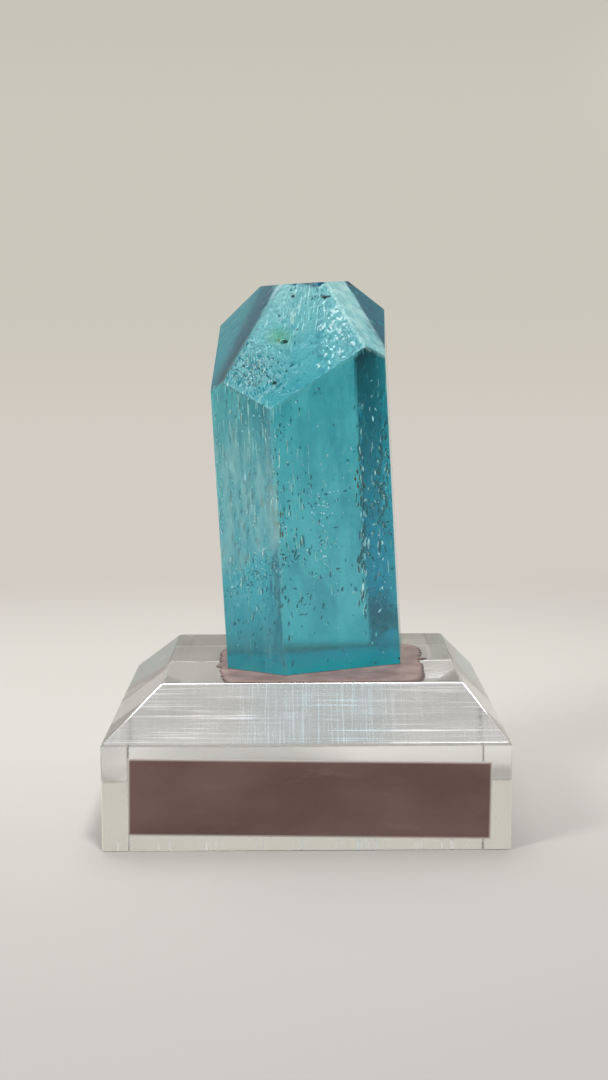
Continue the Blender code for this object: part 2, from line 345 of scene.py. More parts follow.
# %% Light the room
ROOM_LIGHT = (0.13, 0.13, 0.13, 1)
SOFTBOXES = {
    "overhead_softbox": {"place": (-0.04, 0.16, 0.42), "size": 0.30, "power": 1.0},
    "small_key": {"place": (0.06, -0.20, 0.36), "size": 0.06, "power": 0.80},
    "left_fill": {"place": (-0.22, -0.20, 0.22), "size": 0.10, "power": 0.55},
}


def add_softbox(name, place, size, power):
    """A square light that looks at the crystal."""
    softbox = bpy.data.objects.new(name, bpy.data.lights.new(name, "AREA"))
    softbox.data.energy = power
    softbox.data.size = size
    softbox.location = place
    softbox.rotation_euler = (-Vector(place)).to_track_quat("-Z", "Y").to_euler()
    bpy.context.scene.collection.objects.link(softbox)
    print(name, "at", place, "metres, with", power, "watts")


for softbox_name, settings in SOFTBOXES.items():
    add_softbox(softbox_name, **settings)
world = bpy.data.worlds.new("room")
world.use_nodes = True
world.node_tree.nodes["Background"].inputs["Color"].default_value = ROOM_LIGHT
bpy.context.scene.world = world
bpy.context.scene.view_settings.view_transform = "Standard"
bpy.context.scene.cycles.diffuse_bounces = 2

# %% [markdown]
# ## The crystal's faces
# Beryl grows as a six-sided prism. Sloping faces at 45 degrees stand over its edges and a flat face
# closes the top, always at the same angles, so a few distances fix the whole shape. Instead of
# drawing the faces, each is a plane, and the corners are the points where three planes meet and
# no other plane cuts them off. The corners of one face, put in order, bound one flat polygon.

# %% Work out the crystal's planes
CRYSTAL_TURN = 26.3
CRYSTAL_LEAN_LEFT = 2.93
CRYSTAL_LEAN_FORWARD = 0.52
PRISM_DISTANCES = [8.87, 7.90, 8.18, 9.04, 6.63, 5.91]
DIAMOND_SLOPE = 44.93
DIAMOND_DISTANCES = [22.28, 24.54, 26.66, 26.30, 24.99, 22.59]
TOP_DISTANCE = 31.63
SLIVER_SLOPE = 38.0
SLIVER_TIP = np.array([-2.95, -1.95, 29.0])
FILM_THICKNESS = 0.12 * MM
CONTACT = 0.02 * MM
PARALLEL = 1e-6
PAST_PLANE = 1e-9
ON_PLANE = 1e-8
crystal_stand = np.array([0, 0, base_high[2]])


def face_normals(azimuth, slope):
    """Outward normals of faces: azimuth 0 looks along -Y, and slope is measured from the flat top."""
    turn, tip = np.radians(azimuth), np.radians(slope)
    return np.stack([np.sin(tip) * np.sin(turn), -np.sin(tip) * np.cos(turn), np.cos(tip)], axis=-1)


def lean_matrix():
    """The crystal leans a little to the left, and then a little forward."""
    forward, left = math.radians(CRYSTAL_LEAN_FORWARD), math.radians(CRYSTAL_LEAN_LEFT)
    return np.array(Matrix.Rotation(forward, 3, "X") @ Matrix.Rotation(-left, 3, "Y"))


def crystal_planes():
    """Names, normals and distances of all faces: n . p = d, in the part's own frame."""
    steps = 60 * np.arange(6)
    prism = face_normals(CRYSTAL_TURN - 60 + steps, np.full(6, 90.0))
    diamond = face_normals(CRYSTAL_TURN - 30 + steps, np.full(6, DIAMOND_SLOPE))
    sliver = face_normals(np.array([CRYSTAL_TURN - 60]), np.array([SLIVER_SLOPE]))
    normals = np.concatenate([prism, diamond, UP[None], sliver])
    distances = PRISM_DISTANCES + DIAMOND_DISTANCES + [TOP_DISTANCE, float(sliver[0] @ SLIVER_TIP)]
    normals = normals @ lean_matrix().T
    distances = np.array(distances) * MM + normals @ crystal_stand
    foot_height = base_high[2] + FILM_THICKNESS
    names = [f"{kind}_{k}" for kind in ("prism", "diamond") for k in range(6)] + ["top", "sliver", "foot"]
    return names, np.vstack([normals, -UP]), np.append(distances, -foot_height)


def solid_corners(normals, distances):
    """Corners where three planes meet, kept where no other plane cuts them off."""
    count = len(normals)
    triples = np.array([(a, b, c) for a in range(count) for b in range(a) for c in range(b)])
    rows = normals[triples]
    triples = triples[np.abs(np.linalg.det(rows)) > PARALLEL]
    meets = np.linalg.solve(normals[triples], distances[triples][..., None])[..., 0]
    meets = meets[np.all(meets @ normals.T <= distances + PAST_PLANE, axis=1)]
    return meets[np.unique(np.round(meets, 7), axis=0, return_index=True)[1]]


def face_polygon(corners, normal, distance):
    """One face's corners, counter-clockwise seen from outside."""
    mine = corners[np.abs(corners @ normal - distance) < ON_PLANE]
    centre = mine.mean(axis=0)
    across = mine[0] - centre
    across = across / np.linalg.norm(across)
    angle = np.arctan2((mine - centre) @ np.cross(normal, across), (mine - centre) @ across)
    return mine[np.argsort(angle)]


face_names, normals, distances = crystal_planes()
corners = solid_corners(normals, distances)
polygons = [face_polygon(corners, n, d) for n, d in zip(normals, distances)]
print("corners of each face:", {name: len(poly) for name, poly in zip(face_names, polygons)})

# %% [markdown]
# ## The crystal's surface
# Glass shows every flaw of its mesh, so the crystal's edges have to be exact lines and its flat
# faces dense enough to carry relief. Each corner of a face owns one four-sided patch, which runs
# from the corner to the middles of its two edges and to the middle of the face. All patches have
# the same number of steps, so neighbours share their points and the skin closes. Etching and
# growth lines then sink into each face, and fade out before its edges.

# %% Lay patches over the faces
PATCH_STEPS = 35


def face_patches(polygon):
    """Patches P(u, v) = (1-u)(1-v) corner + u(1-v) next middle + u v centre + (1-u) v last middle."""
    middles = (polygon + np.roll(polygon, -1, axis=0)) / 2
    centres = np.broadcast_to(polygon.mean(axis=0), polygon.shape)
    frames = np.stack([polygon, middles, centres, np.roll(middles, 1, axis=0)], axis=1)
    u, v = np.meshgrid(*[np.linspace(0, 1, PATCH_STEPS + 1)] * 2, indexing="ij")
    weights = np.stack([(1 - u) * (1 - v), u * (1 - v), u * v, (1 - u) * v], axis=-1)
    return np.einsum("uvw,kwx->kuvx", weights, frames).reshape(-1, 3)


def edge_distance(points, face):
    """How far points on a face are from its nearest edge."""
    others = np.delete(np.arange(len(normals)), face)
    slant = np.sqrt(np.clip(1 - (normals[others] @ normals[face]) ** 2, 1e-6, 1))
    clear = (distances[others] - points @ normals[others].T) / slant
    return np.maximum(clear.min(axis=1), 0)


def face_axes(face):
    """The face's level direction and its steepest upward direction."""
    level = np.cross(UP, normals[face])
    level = np.array([1.0, 0, 0]) if np.linalg.norm(level) < 0.1 else level / np.linalg.norm(level)
    return level, np.cross(normals[face], level)


def face_shares(points, face):
    """Where points lie on a face: shares across and up, and the face's size in metres."""
    level, rise = face_axes(face)
    flat = np.stack([polygons[face] @ level, polygons[face] @ rise], axis=-1)
    low, high = flat.min(axis=0), flat.max(axis=0)
    here = np.stack([points @ level, points @ rise], axis=-1)
    return (here - low) / (high - low), here - low


def under_face(name, across, up, depth):
    """Points inside the crystal, in metres, from millimetres across, up and under a face."""
    face = face_names.index(name)
    level, rise = face_axes(face)
    low = np.array([(polygons[face] @ level).min(), (polygons[face] @ rise).min()])
    flat = (low[0] + across * MM)[:, None] * level + (low[1] + up * MM)[:, None] * rise
    return flat + (distances[face] - depth * MM)[:, None] * normals[face]


print("steps along half an edge:", PATCH_STEPS)

# %% Carve the relief
FRONT_PITS = {"count": 700, "width": (0.11 * MM, 0.21 * MM), "depth": (0.02 * MM, 0.06 * MM)}
END_PITS = {"count": 60, "width": (0.15 * MM, 0.35 * MM), "depth": (0.01 * MM, 0.05 * MM)}
SIDE_PITS = {"count": 90, "width": (0.12 * MM, 0.3 * MM), "depth": (0.01 * MM, 0.04 * MM)}
PIT_FADE = 0.12 * MM
FRONT_GROOVES = 0.002 * MM
SIDE_GROOVES = 0.0015 * MM
SIDE_SINK = 0.012 * MM
GROOVE_WAVES = 14
GROOVE_COUNTS = (300, 2600)
MERGE_STEP = 1e-8
MERGE_OFFSET = 0.237


def pits(flat, dice, crowd, count, width, depth):
    """Sum over pits of depth * max(0, 1 - distance / width)^1.5, with pits drawn where crowd is high."""
    span = flat.max(axis=0)
    spots = dice.random((count * 8, 2))
    spots = spots[dice.random(len(spots)) < crowd(spots)][:count] * span
    widths = dice.uniform(*width, len(spots))
    depths = dice.uniform(*depth, len(spots))
    stretch = np.array([1.0, 0.5])
    gap = np.linalg.norm((flat[:, None] - spots) * stretch, axis=2) / widths
    return (depths * np.maximum(0, 1 - gap) ** 1.5).sum(axis=1)


def growth_lines(flat, depth, dice):
    """Upright grooves: a sum of cosines of the place across, whose phases drift slowly upwards."""
    counts = dice.uniform(*GROOVE_COUNTS, GROOVE_WAVES)[:, None]
    phases = dice.uniform(0, 2 * math.pi, GROOVE_WAVES)[:, None]
    drift = dice.uniform(-30, 30, GROOVE_WAVES)[:, None]
    sizes = dice.uniform(0.3, 1.0, GROOVE_WAVES)[:, None] * (500 / (300 + counts))
    waves = sizes * np.cos(counts * flat[:, 0] + drift * flat[:, 1] + phases)
    return depth * waves.sum(axis=0)


def etched_front(shares):
    """Crowding of the front face's pits: thick along the right side and at the lower left."""
    lower_left = np.exp(-((shares[:, 0] - 0.20) ** 2 + (shares[:, 1] - 0.32) ** 2) / 0.04)
    right_side = np.exp(-((shares[:, 0] - 0.86) ** 2) / 0.012 - (shares[:, 1] - 0.60) ** 2 / 0.05)
    return 0.15 + 0.85 * np.maximum(0.6 * lower_left, right_side)


def frosted_left(shares):
    """Haze of the left front face: full in its upper two thirds, gone below a slanting line."""
    line = 0.27 + 0.12 * shares[:, 0]
    return np.clip((shares[:, 1] - line) / 0.10, 0.25, 1) * np.clip((0.95 - shares[:, 1]) / 0.20, 0.3, 1)


def plain(shares):
    """Even crowding, for the other faces."""
    return np.full(len(shares), 0.5)


def carve(points, face, dice):
    """The depth of all relief at each point of a face."""
    _, flat = face_shares(points, face)
    name = face_names[face]
    if name == "diamond_0":
        depth = pits(flat, dice, etched_front, **FRONT_PITS) + growth_lines(flat, FRONT_GROOVES, dice)
    elif name.startswith("diamond"):
        depth = pits(flat, dice, plain, **END_PITS)
    elif name.startswith("prism"):
        depth = SIDE_SINK + growth_lines(flat, SIDE_GROOVES, dice)
        depth = depth + pits(flat, dice, plain, **SIDE_PITS)
    else:
        depth = np.zeros(len(points))
    fade = np.clip(edge_distance(points, face) / PIT_FADE, 0, 1)
    return depth * fade


def crystal_skin():
    """All patches, sunk by their relief, as points, faces and the growth face each belongs to."""
    dice = np.random.default_rng(FIRST_SEED)
    points, owners = [], []
    for face, polygon in enumerate(polygons):
        flat = face_patches(polygon)
        points.append(flat - carve(flat, face, dice)[:, None] * normals[face])
        owners.append(np.full(len(polygon), face))
    points, owners = np.concatenate(points), np.concatenate(owners)
    side = PATCH_STEPS + 1
    one = grid_faces(side, side)[:, ::-1]
    faces = one[None] + (np.arange(len(owners)) * side * side)[:, None, None]
    keys = np.round(points / MERGE_STEP + MERGE_OFFSET)
    _, first, same = np.unique(keys, axis=0, return_index=True, return_inverse=True)
    return points[first], same.reshape(-1)[faces.reshape(-1, 4)], np.repeat(owners, len(one))


def mark_sharp(mesh, owners):
    """Keeps the line between two growth faces crisp: an edge is sharp where its two owners differ."""
    edge = np.empty(len(mesh.loops), dtype=np.int32)
    mesh.loops.foreach_get("edge_index", edge)
    owner = np.repeat(owners, 4)[np.argsort(edge, kind="stable")].reshape(-1, 2)
    sharp = mesh.attributes.new("sharp_edge", "BOOLEAN", "EDGE")
    sharp.data.foreach_set("value", owner[:, 0] != owner[:, 1])


print("relief fades out over", PIT_FADE / MM, "mm at the edges")

# %% [markdown]
# ## The aquamarine itself
# Blue-green beryl bends light by 1.577 and swallows red far sooner than green or blue. The colour
# is therefore mostly in the volume and not on the skin: thick paths are deep teal, thin ones pale.
# The skin adds the gloss, faint growth lines as shaded relief, smoky places and a yellowish stain as
# tints, painted shade as darker tints on two end faces and at the front of the foot, and a thin
# matt film where a face is etched or frosted. Where each of these lies is painted on the mesh's
# points as a number, because it goes by the growth faces.

# %% Mix the aquamarine
BERYL_IOR = 1.577
BERYL_COLOUR = (0.0, 0.805, 0.882)
BERYL_DENSITY = 155.0
CLEAR = (1, 1, 1, 1)
SMOKY = (0.34, 0.64, 0.71, 1)
PAINTED_SHADE = (0.46, 0.56, 0.56, 1)
SIDE_PAINTED_SHADE = 0.6
# Painted shade: the lower front of the crystal is tinted deep teal, like light that has run its whole
# length.
FOOT_PAINTED_SHADE = (0.14, 0.62, 0.66, 1)
FOOT_SHADE_HEIGHT = 9.0 * MM
FOOT_SHADE_FRONT = (-2.0 * MM, 2.0 * MM)
STAIN = (1.0, 0.93, 0.45, 1)
STAIN_PLACE = (4.1, 7.9, 0.0)
STAIN_REACH = (0.2 * MM, 1.6 * MM)
FROST_WHITE = (0.70, 1.0, 0.98, 1)
LINE_WIDTH = 0.25 * MM
LINE_DEPTH = 0.006 * MM
DASH_WIDTH = 0.13 * MM
DASH_DEPTH = 0.035 * MM
GRAIN_WIDTH = 0.10 * MM
GRAIN_DEPTH = 0.03 * MM
PATCH_WIDTH = 0.9 * MM
SMOKE_WIDTH = 2.2 * MM
MOTTLE_WIDTH = 0.45 * MM
SOFT_FOOT = (0.5 * MM, 6.0 * MM)


def aquamarine_finish():
    """Clear beryl, smoky in clouds, with painted shade at the front of its foot and on two end faces, hazy
    where etched or frosted.
    """
    finish = Finish("aquamarine", IOR=BERYL_IOR, Transmission_Weight=1.0)
    finish.soak(BERYL_COLOUR, BERYL_DENSITY)
    lean = (-math.radians(CRYSTAL_LEAN_FORWARD), math.radians(CRYSTAL_LEAN_LEFT), 0)
    upright = finish.noise(finish.place(scale=(1, 1, 0.04), turn=lean), LINE_WIDTH, 3.0, 0.6)
    patchy = finish.noise(finish.place(scale=(1, 1, 0.25), turn=lean), PATCH_WIDTH, 4.0, 0.6)
    cloudy = finish.noise(finish.place(scale=(1, 1, 0.4), turn=lean), SMOKE_WIDTH, 5.0, 0.65)
    dashes = finish.noise(finish.place(scale=(1, 0.4, 0.4)), DASH_WIDTH, 2.0, 0.6).step(0.56, 0.66)
    grain = finish.noise(finish.place(), GRAIN_WIDTH, 2.0, 0.5)
    etched = finish.attribute("etched")
    frosted = finish.attribute("frosted")
    height = finish.part(2)
    foot = float(base_high[2])
    mottled = finish.noise(finish.place(scale=(1, 1, 0.6), turn=lean), MOTTLE_WIDTH, 3.0, 0.6)
    smoke = cloudy.step(0.40, 0.62) * (0.2 + 1.2 * mottled) * (1 - 0.8 * etched.step(0.02, 0.12))
    tint = finish.mix(smoke, CLEAR, SMOKY)
    # Painted shade: a darker tint on the right end face past the front strip and on the left end face.
    tint = finish.mix(finish.attribute("shaded"), tint, PAINTED_SHADE)
    # Painted shade: deep teal low down and at the front of the crystal.
    foot_shade = (1 - height.step(foot, foot + FOOT_SHADE_HEIGHT)) * (1 - finish.part(1).step(*FOOT_SHADE_FRONT))
    tint = finish.mix(foot_shade, tint, FOOT_PAINTED_SHADE)
    stain_place = under_face("diamond_0", *np.array(STAIN_PLACE)[:, None])[0].tolist()
    tint = finish.mix(1 - finish.from_spot(stain_place).step(*STAIN_REACH), tint, STAIN)
    lines = finish.bump(upright, LINE_DEPTH)
    marks = finish.bump(dashes * etched, DASH_DEPTH, lines)
    relief = finish.bump(grain * (0.15 + etched), GRAIN_DEPTH, marks)
    soft_foot = 1 - height.step(foot + SOFT_FOOT[0], foot + SOFT_FOOT[1])
    roughness = 0.015 + 0.06 * etched + 0.16 * frosted * patchy.step(0.30, 0.62) + 0.20 * soft_foot
    finish.feed(finish.surface, {"Base Color": tint, "Roughness": roughness, "Normal": relief})
    haze = frosted * (0.18 + 0.28 * patchy.step(0.38, 0.66))
    finish.whiten(haze + 0.24 * etched * dashes, FROST_WHITE)
    return finish


print("the aquamarine bends light by", BERYL_IOR)

# %% Grow the crystal
SKIN_DEPTH = 0.2 * MM
STRIP_WIDTH = 2.7 * MM
STRIP_EDGE = 0.3 * MM
STRIP_FROST = (1.5, 0.9)
EDGE_SINE = 0.661


def on_face(points, name):
    """Which points of the skin belong to a growth face, and their shares across and up it."""
    face = face_names.index(name)
    near = np.abs(points @ normals[face] - distances[face]) < SKIN_DEPTH
    return near, face_shares(points, face)[0]


def paint_number(mesh, name, values):
    """Keeps one number for each point of the mesh, for a finish to read."""
    mesh.attributes.new(name, "FLOAT", "POINT").data.foreach_set("value", values.astype(np.float32))


def front_strip(points):
    """1 on the strip of an end face that lies along its edge with the front one. A point's height
    under the front face, over the sine of the angle between the two faces, is how far it is from
    that edge."""
    front = face_names.index("diamond_0")
    from_front = (distances[front] - points @ normals[front]) / EDGE_SINE
    return np.clip((STRIP_WIDTH - from_front) / STRIP_EDGE, 0, 1)


def make_crystal():
    """Adds the skin and paints on it where it is etched, frosted or darkened by painted shade."""
    points, faces, owners = crystal_skin()
    crystal = add_piece("aquamarine_body", points, faces, aquamarine_finish())
    mark_sharp(crystal.data, owners)
    near, shares = on_face(points, "diamond_0")
    paint_number(crystal.data, "etched", near * etched_front(shares))
    near, shares = on_face(points, "prism_0")
    frosted = near * frosted_left(shares)
    near, shares = on_face(points, "diamond_1")
    strip = front_strip(points)
    strip_frost = STRIP_FROST[0] + STRIP_FROST[1] * shares[:, 1]
    paint_number(crystal.data, "frosted", np.maximum(frosted, near * strip_frost * strip))
    # Painted shade: full on the right end face past the strip, and less on the left end face.
    shaded = near * (1 - strip)
    near, _ = on_face(points, "diamond_5")
    paint_number(crystal.data, "shaded", np.maximum(shaded, SIDE_PAINTED_SHADE * near))
    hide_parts("aquamarine_crystal")


make_crystal()

# %% [markdown]
# ## What is inside the crystal
# Aquamarine is rarely clean. Hollow growth tubes run along it like silk, healed cracks leave veils
# of tiny glints, and dark grains sit under the faces. Each kind is one mesh of many lozenges: a
# short six-sided barrel, stretched into a thread, flattened into a flake or left as a grain. The
# clouds are drawn at random round given places, so they are written as tables. A row holds
# the face, the count, the middle and the spread across and up the face, the least and the greatest
# depth under it, a lozenge's width, thickness and length, all in millimetres, and its turn.

# %% Make many lozenges at once
LOZENGE_SIDES = 6
LOZENGE_LEVELS = np.array([-0.5, -0.25, 0.25, 0.5])
LOZENGE_WIDTHS = np.array([0.08, 0.5, 0.5, 0.08])
SKIN = 0.03 * MM
SIZE_SPREAD = (0.5, 1.4)
SHAPE_SPREAD = (0.75, 1.3)


def lozenges(centres, frames, sizes, dice, ragged=0.25):
    """Barrels: (w cos a, w sin a, l) at each angle a and level l, made uneven, scaled and turned."""
    angle = np.linspace(0, 2 * math.pi, LOZENGE_SIDES, endpoint=False)
    ring = np.stack([np.cos(angle), np.sin(angle), np.zeros(LOZENGE_SIDES)], axis=-1)
    barrel = LOZENGE_WIDTHS[:, None, None] * ring + LOZENGE_LEVELS[:, None, None] * UP
    barrel = barrel.reshape(-1, 3)
    uneven = 1 + dice.uniform(-ragged, ragged, (len(centres), len(barrel), 1))
    local = barrel * uneven * sizes[:, None, :]
    points = centres[:, None, :] + np.einsum("nij,nvj->nvi", frames, local)
    sides = grid_faces(len(LOZENGE_LEVELS), LOZENGE_SIDES, round_columns=True)
    bottom, top = np.arange(LOZENGE_SIDES)[::-1], np.arange(LOZENGE_SIDES) + 3 * LOZENGE_SIDES
    start = (np.arange(len(centres)) * len(barrel))[:, None, None]
    caps = (np.stack([bottom, top])[None] + start).reshape(-1, LOZENGE_SIDES)
    return points.reshape(-1, 3), [(sides[None] + start).reshape(-1, 4), caps]


def kept_inside(centres, frames, sizes):
    """Which lozenges lie wholly inside the crystal: both ends and the middle clear every face."""
    reach = frames[:, :, 2] * sizes[:, 2:] / 2
    spots = np.stack([centres - reach, centres + reach])
    return np.all(spots @ normals.T < distances - SKIN, axis=(0, 2))


def picked(centres, frames, size, dice):
    """Gives each lozenge its own size and keeps those inside the crystal."""
    count = len(centres)
    sizes = np.array(size) * MM * dice.uniform(*SIZE_SPREAD, (count, 1))
    sizes = sizes * dice.uniform(*SHAPE_SPREAD, (count, 3))
    kept = kept_inside(centres, frames, sizes)
    return centres[kept], frames[kept], sizes[kept]


def frames_along(name, tilt, dice, count):
    """Turns each lozenge: its length runs up the face, tipped in the face by about `tilt` radians."""
    face = face_names.index(name)
    level, rise = face_axes(face)
    angle = dice.normal(0, 1, count) * tilt[0] + tilt[1]
    length = np.cos(angle)[:, None] * rise + np.sin(angle)[:, None] * level
    wide = np.cos(angle)[:, None] * level - np.sin(angle)[:, None] * rise
    return np.stack([wide, np.broadcast_to(normals[face], wide.shape), length], axis=-1)


def cloud(dice, face, count, middle, spread, depth, size, tilt=(0.15, 0.0)):
    """A drift of lozenges round a middle: their centres, turns and sizes."""
    across = dice.normal(middle[0], spread[0], count)
    up = dice.normal(middle[1], spread[1], count)
    centres = under_face(face, across, up, dice.uniform(*depth, count))
    return picked(centres, frames_along(face, tilt, dice, count), size, dice)


def band(dice, face, count, start, end, spread, depth, size, tilt=(0.4, 0.0)):
    """Lozenges along a straight line from start to end on a face, in millimetres."""
    share = dice.random(count)
    across = start[0] + (end[0] - start[0]) * share + dice.normal(0, spread, count)
    up = start[1] + (end[1] - start[1]) * share + dice.normal(0, spread, count)
    centres = under_face(face, across, up, dice.uniform(*depth, count))
    return picked(centres, frames_along(face, tilt, dice, count), size, dice)


def drifts(dice, rows, kind=cloud):
    """One cloud, or one band, for each row of a table."""
    return [kind(dice, *row) for row in rows]


def beside(groups, shift, share, dice):
    """Thinner lozenges just left of a share of the given ones, as painted highlights beside dark grains.
    """
    centres, frames, sizes = (np.concatenate(parts) for parts in zip(*groups))
    chosen = dice.random(len(centres)) < share
    centres = centres[chosen] - UP * shift * 0.5 - np.array([shift, 0, 0])
    sizes = sizes[chosen] * np.array([0.6, 0.8, 0.8])
    kept = kept_inside(centres, frames[chosen], sizes)
    return centres[kept], frames[chosen][kept], sizes[kept]


def add_inclusions(name, groups, finish, dice):
    """Makes one mesh of lozenges from all drifts of a kind."""
    centres, frames, sizes = (np.concatenate(parts) for parts in zip(*groups))
    points, faces = lozenges(centres, frames, sizes, dice)
    add_piece(name, points, faces, finish, smooth=False)


print("a lozenge has", len(LOZENGE_LEVELS) * LOZENGE_SIDES, "points")

# %% Scatter the dark grains
# They lie under the etched front face, on the two front prism faces and in the dark right band.
FRONT, LEFT, MAIN = "diamond_0", "prism_0", "prism_1"
DARK_CLOUDS = [
    (FRONT, 230, (2.3, 4.2), (1.1, 1.5), (0.05, 0.25), (0.12, 0.05, 0.28)),
    (FRONT, 5, (4.35, 7.4), (0.07, 0.07), (0.05, 0.08), (0.26, 0.06, 0.24)),
    (FRONT, 150, (5.5, 6.5), (2.6, 3.2), (0.05, 1.0), (0.08, 0.05, 0.15)),
    (FRONT, 3, (7.5, 13.0), (0.35, 0.2), (0.05, 0.2), (0.22, 0.10, 0.20)),
    (FRONT, 2, (4.7, 13.3), (0.1, 0.1), (0.05, 0.2), (0.16, 0.08, 0.16)),
    (FRONT, 4, (4.4, 2.8), (0.12, 0.18), (0.05, 0.1), (0.12, 0.06, 0.26), (0.8, 0.3)),
    ("diamond_1", 26, (1.9, 4.0), (0.8, 1.6), (0.05, 0.4), (0.08, 0.05, 0.28)),
    (MAIN, 5, (4.4, 22.9), (0.18, 0.15), (0.1, 0.4), (0.12, 0.06, 0.26), (0.5, -0.6)),
    (MAIN, 16, (1.1, 19.8), (0.6, 0.5), (0.2, 0.9), (0.11, 0.05, 0.15)),
    (MAIN, 70, (1.6, 13.0), (1.2, 4.4), (0.2, 2.5), (0.10, 0.06, 0.34)),
    (MAIN, 110, (5.0, 10.5), (3.6, 6.5), (0.2, 3.0), (0.08, 0.05, 0.17)),
    (MAIN, 20, (5.0, 8.5), (3.6, 5.0), (0.2, 1.5), (0.14, 0.07, 0.36), (0.2, 0.0)),
    (MAIN, 18, (5.0, 8.5), (3.6, 5.0), (0.2, 1.5), (0.13, 0.07, 0.36), (0.2, 1.5)),
    (MAIN, 12, (3.0, 9.5), (2.0, 3.0), (0.2, 1.0), (0.13, 0.07, 0.60), (0.15, 0.0)),
    (MAIN, 150, (9.9, 13.0), (0.9, 6.0), (0.15, 0.9), (0.12, 0.06, 0.34), (0.5, 0.0)),
    (MAIN, 60, (10.2, 15.5), (0.7, 3.0), (0.15, 0.9), (0.16, 0.06, 0.55), (0.15, 0.0)),
    (MAIN, 54, (8.35, 12.0), (0.22, 6.0), (0.15, 0.6), (0.17, 0.05, 0.70), (0.12, 0.0)),
    (MAIN, 9, (3.2, 5.5), (0.45, 0.4), (0.3, 0.7), (0.09, 0.05, 0.28), (1.2, 0.5)),
    (MAIN, 8, (9.6, 3.3), (0.5, 0.3), (0.3, 0.7), (0.10, 0.05, 0.28), (0.6, 0.6)),
    (LEFT, 170, (3.2, 12.0), (2.0, 6.5), (0.2, 1.6), (0.09, 0.05, 0.20)),
    (LEFT, 40, (3.0, 8.5), (2.0, 4.5), (0.2, 1.0), (0.13, 0.06, 0.34), (0.25, 0.0)),
    (LEFT, 20, (3.0, 8.5), (2.0, 4.5), (0.2, 1.0), (0.12, 0.06, 0.32), (0.25, 1.5)),
    (LEFT, 55, (2.5, 12.5), (1.4, 3.0), (0.1, 0.5), (0.12, 0.05, 0.60), (0.2, 0.0)),
    (LEFT, 5, (2.4, 13.3), (0.25, 0.06), (0.2, 0.4), (0.08, 0.05, 0.40), (0.2, 1.5)),
]
DARK_BANDS = [
    (LEFT, 46, (0.6, 6.2), (6.2, 9.2), 0.35, (0.2, 1.2), (0.11, 0.05, 0.22), (0.8, 1.0)),
    (MAIN, 26, (0.2, 9.0), (5.4, 10.8), 0.35, (0.2, 1.5), (0.11, 0.05, 0.22), (0.8, 1.0)),
]
dice = np.random.default_rng(FIRST_SEED + 1)
dark = Finish("dark_grain", Roughness=0.6, Base_Color=(0.02, 0.30, 0.36, 1))
# Painted light: the dark grains glow faintly teal instead of staying black.
dark.feed(dark.surface, {"Emission Color": (0.01, 0.085, 0.10, 1), "Emission Strength": 0.2})
dark_drifts = drifts(dice, DARK_CLOUDS) + drifts(dice, DARK_BANDS, band)
add_inclusions("dark_grains", dark_drifts, dark, dice)

# %% Scatter the rusty grains and the black specks
# Rust: a trace beside the front face's speck and upright stains lower down. Black: the speck, dots
# near the top edge, a curl below them, and two thin drifts of short marks.
BROWN_CLOUDS = [
    (FRONT, 2, (4.1, 7.6), (0.12, 0.12), (0.1, 0.14), (0.16, 0.06, 0.16)),
    (MAIN, 26, (0.7, 12.6), (0.28, 0.75), (0.2, 0.8), (0.11, 0.06, 0.34)),
    (MAIN, 24, (8.1, 15.4), (0.22, 0.95), (0.2, 0.8), (0.10, 0.06, 0.30)),
    (LEFT, 12, (5.2, 14.0), (0.5, 1.2), (0.2, 0.8), (0.08, 0.05, 0.40)),
]
BLACK_CLOUDS = [
    (FRONT, 4, (4.55, 7.35), (0.06, 0.06), (0.12, 0.16), (0.34, 0.08, 0.34)),
    (FRONT, 3, (7.4, 12.5), (0.30, 0.08), (0.12, 0.16), (0.34, 0.08, 0.22)),
    (FRONT, 1, (4.9, 12.6), (0.02, 0.02), (0.12, 0.16), (0.28, 0.08, 0.24)),
    (FRONT, 3, (4.2, 2.9), (0.10, 0.15), (0.12, 0.16), (0.14, 0.06, 0.30), (0.8, 0.3)),
    (FRONT, 55, (2.4, 4.4), (1.1, 1.4), (0.10, 0.20), (0.09, 0.05, 0.24), (0.5, 0.0)),
    (FRONT, 30, (5.5, 6.5), (2.4, 3.0), (0.10, 0.20), (0.07, 0.05, 0.22), (0.3, 0.0)),
]
brown = Finish("brown_grain", Roughness=0.6, Base_Color=(0.22, 0.13, 0.05, 1))
add_inclusions("brown_grains", drifts(dice, BROWN_CLOUDS), brown, dice)
black = Finish("black_grain", Roughness=0.6, Base_Color=(0.008, 0.035, 0.042, 1))
black_dice = np.random.default_rng(FIRST_SEED + 9)
add_inclusions("black_specks", drifts(black_dice, BLACK_CLOUDS), black, black_dice)

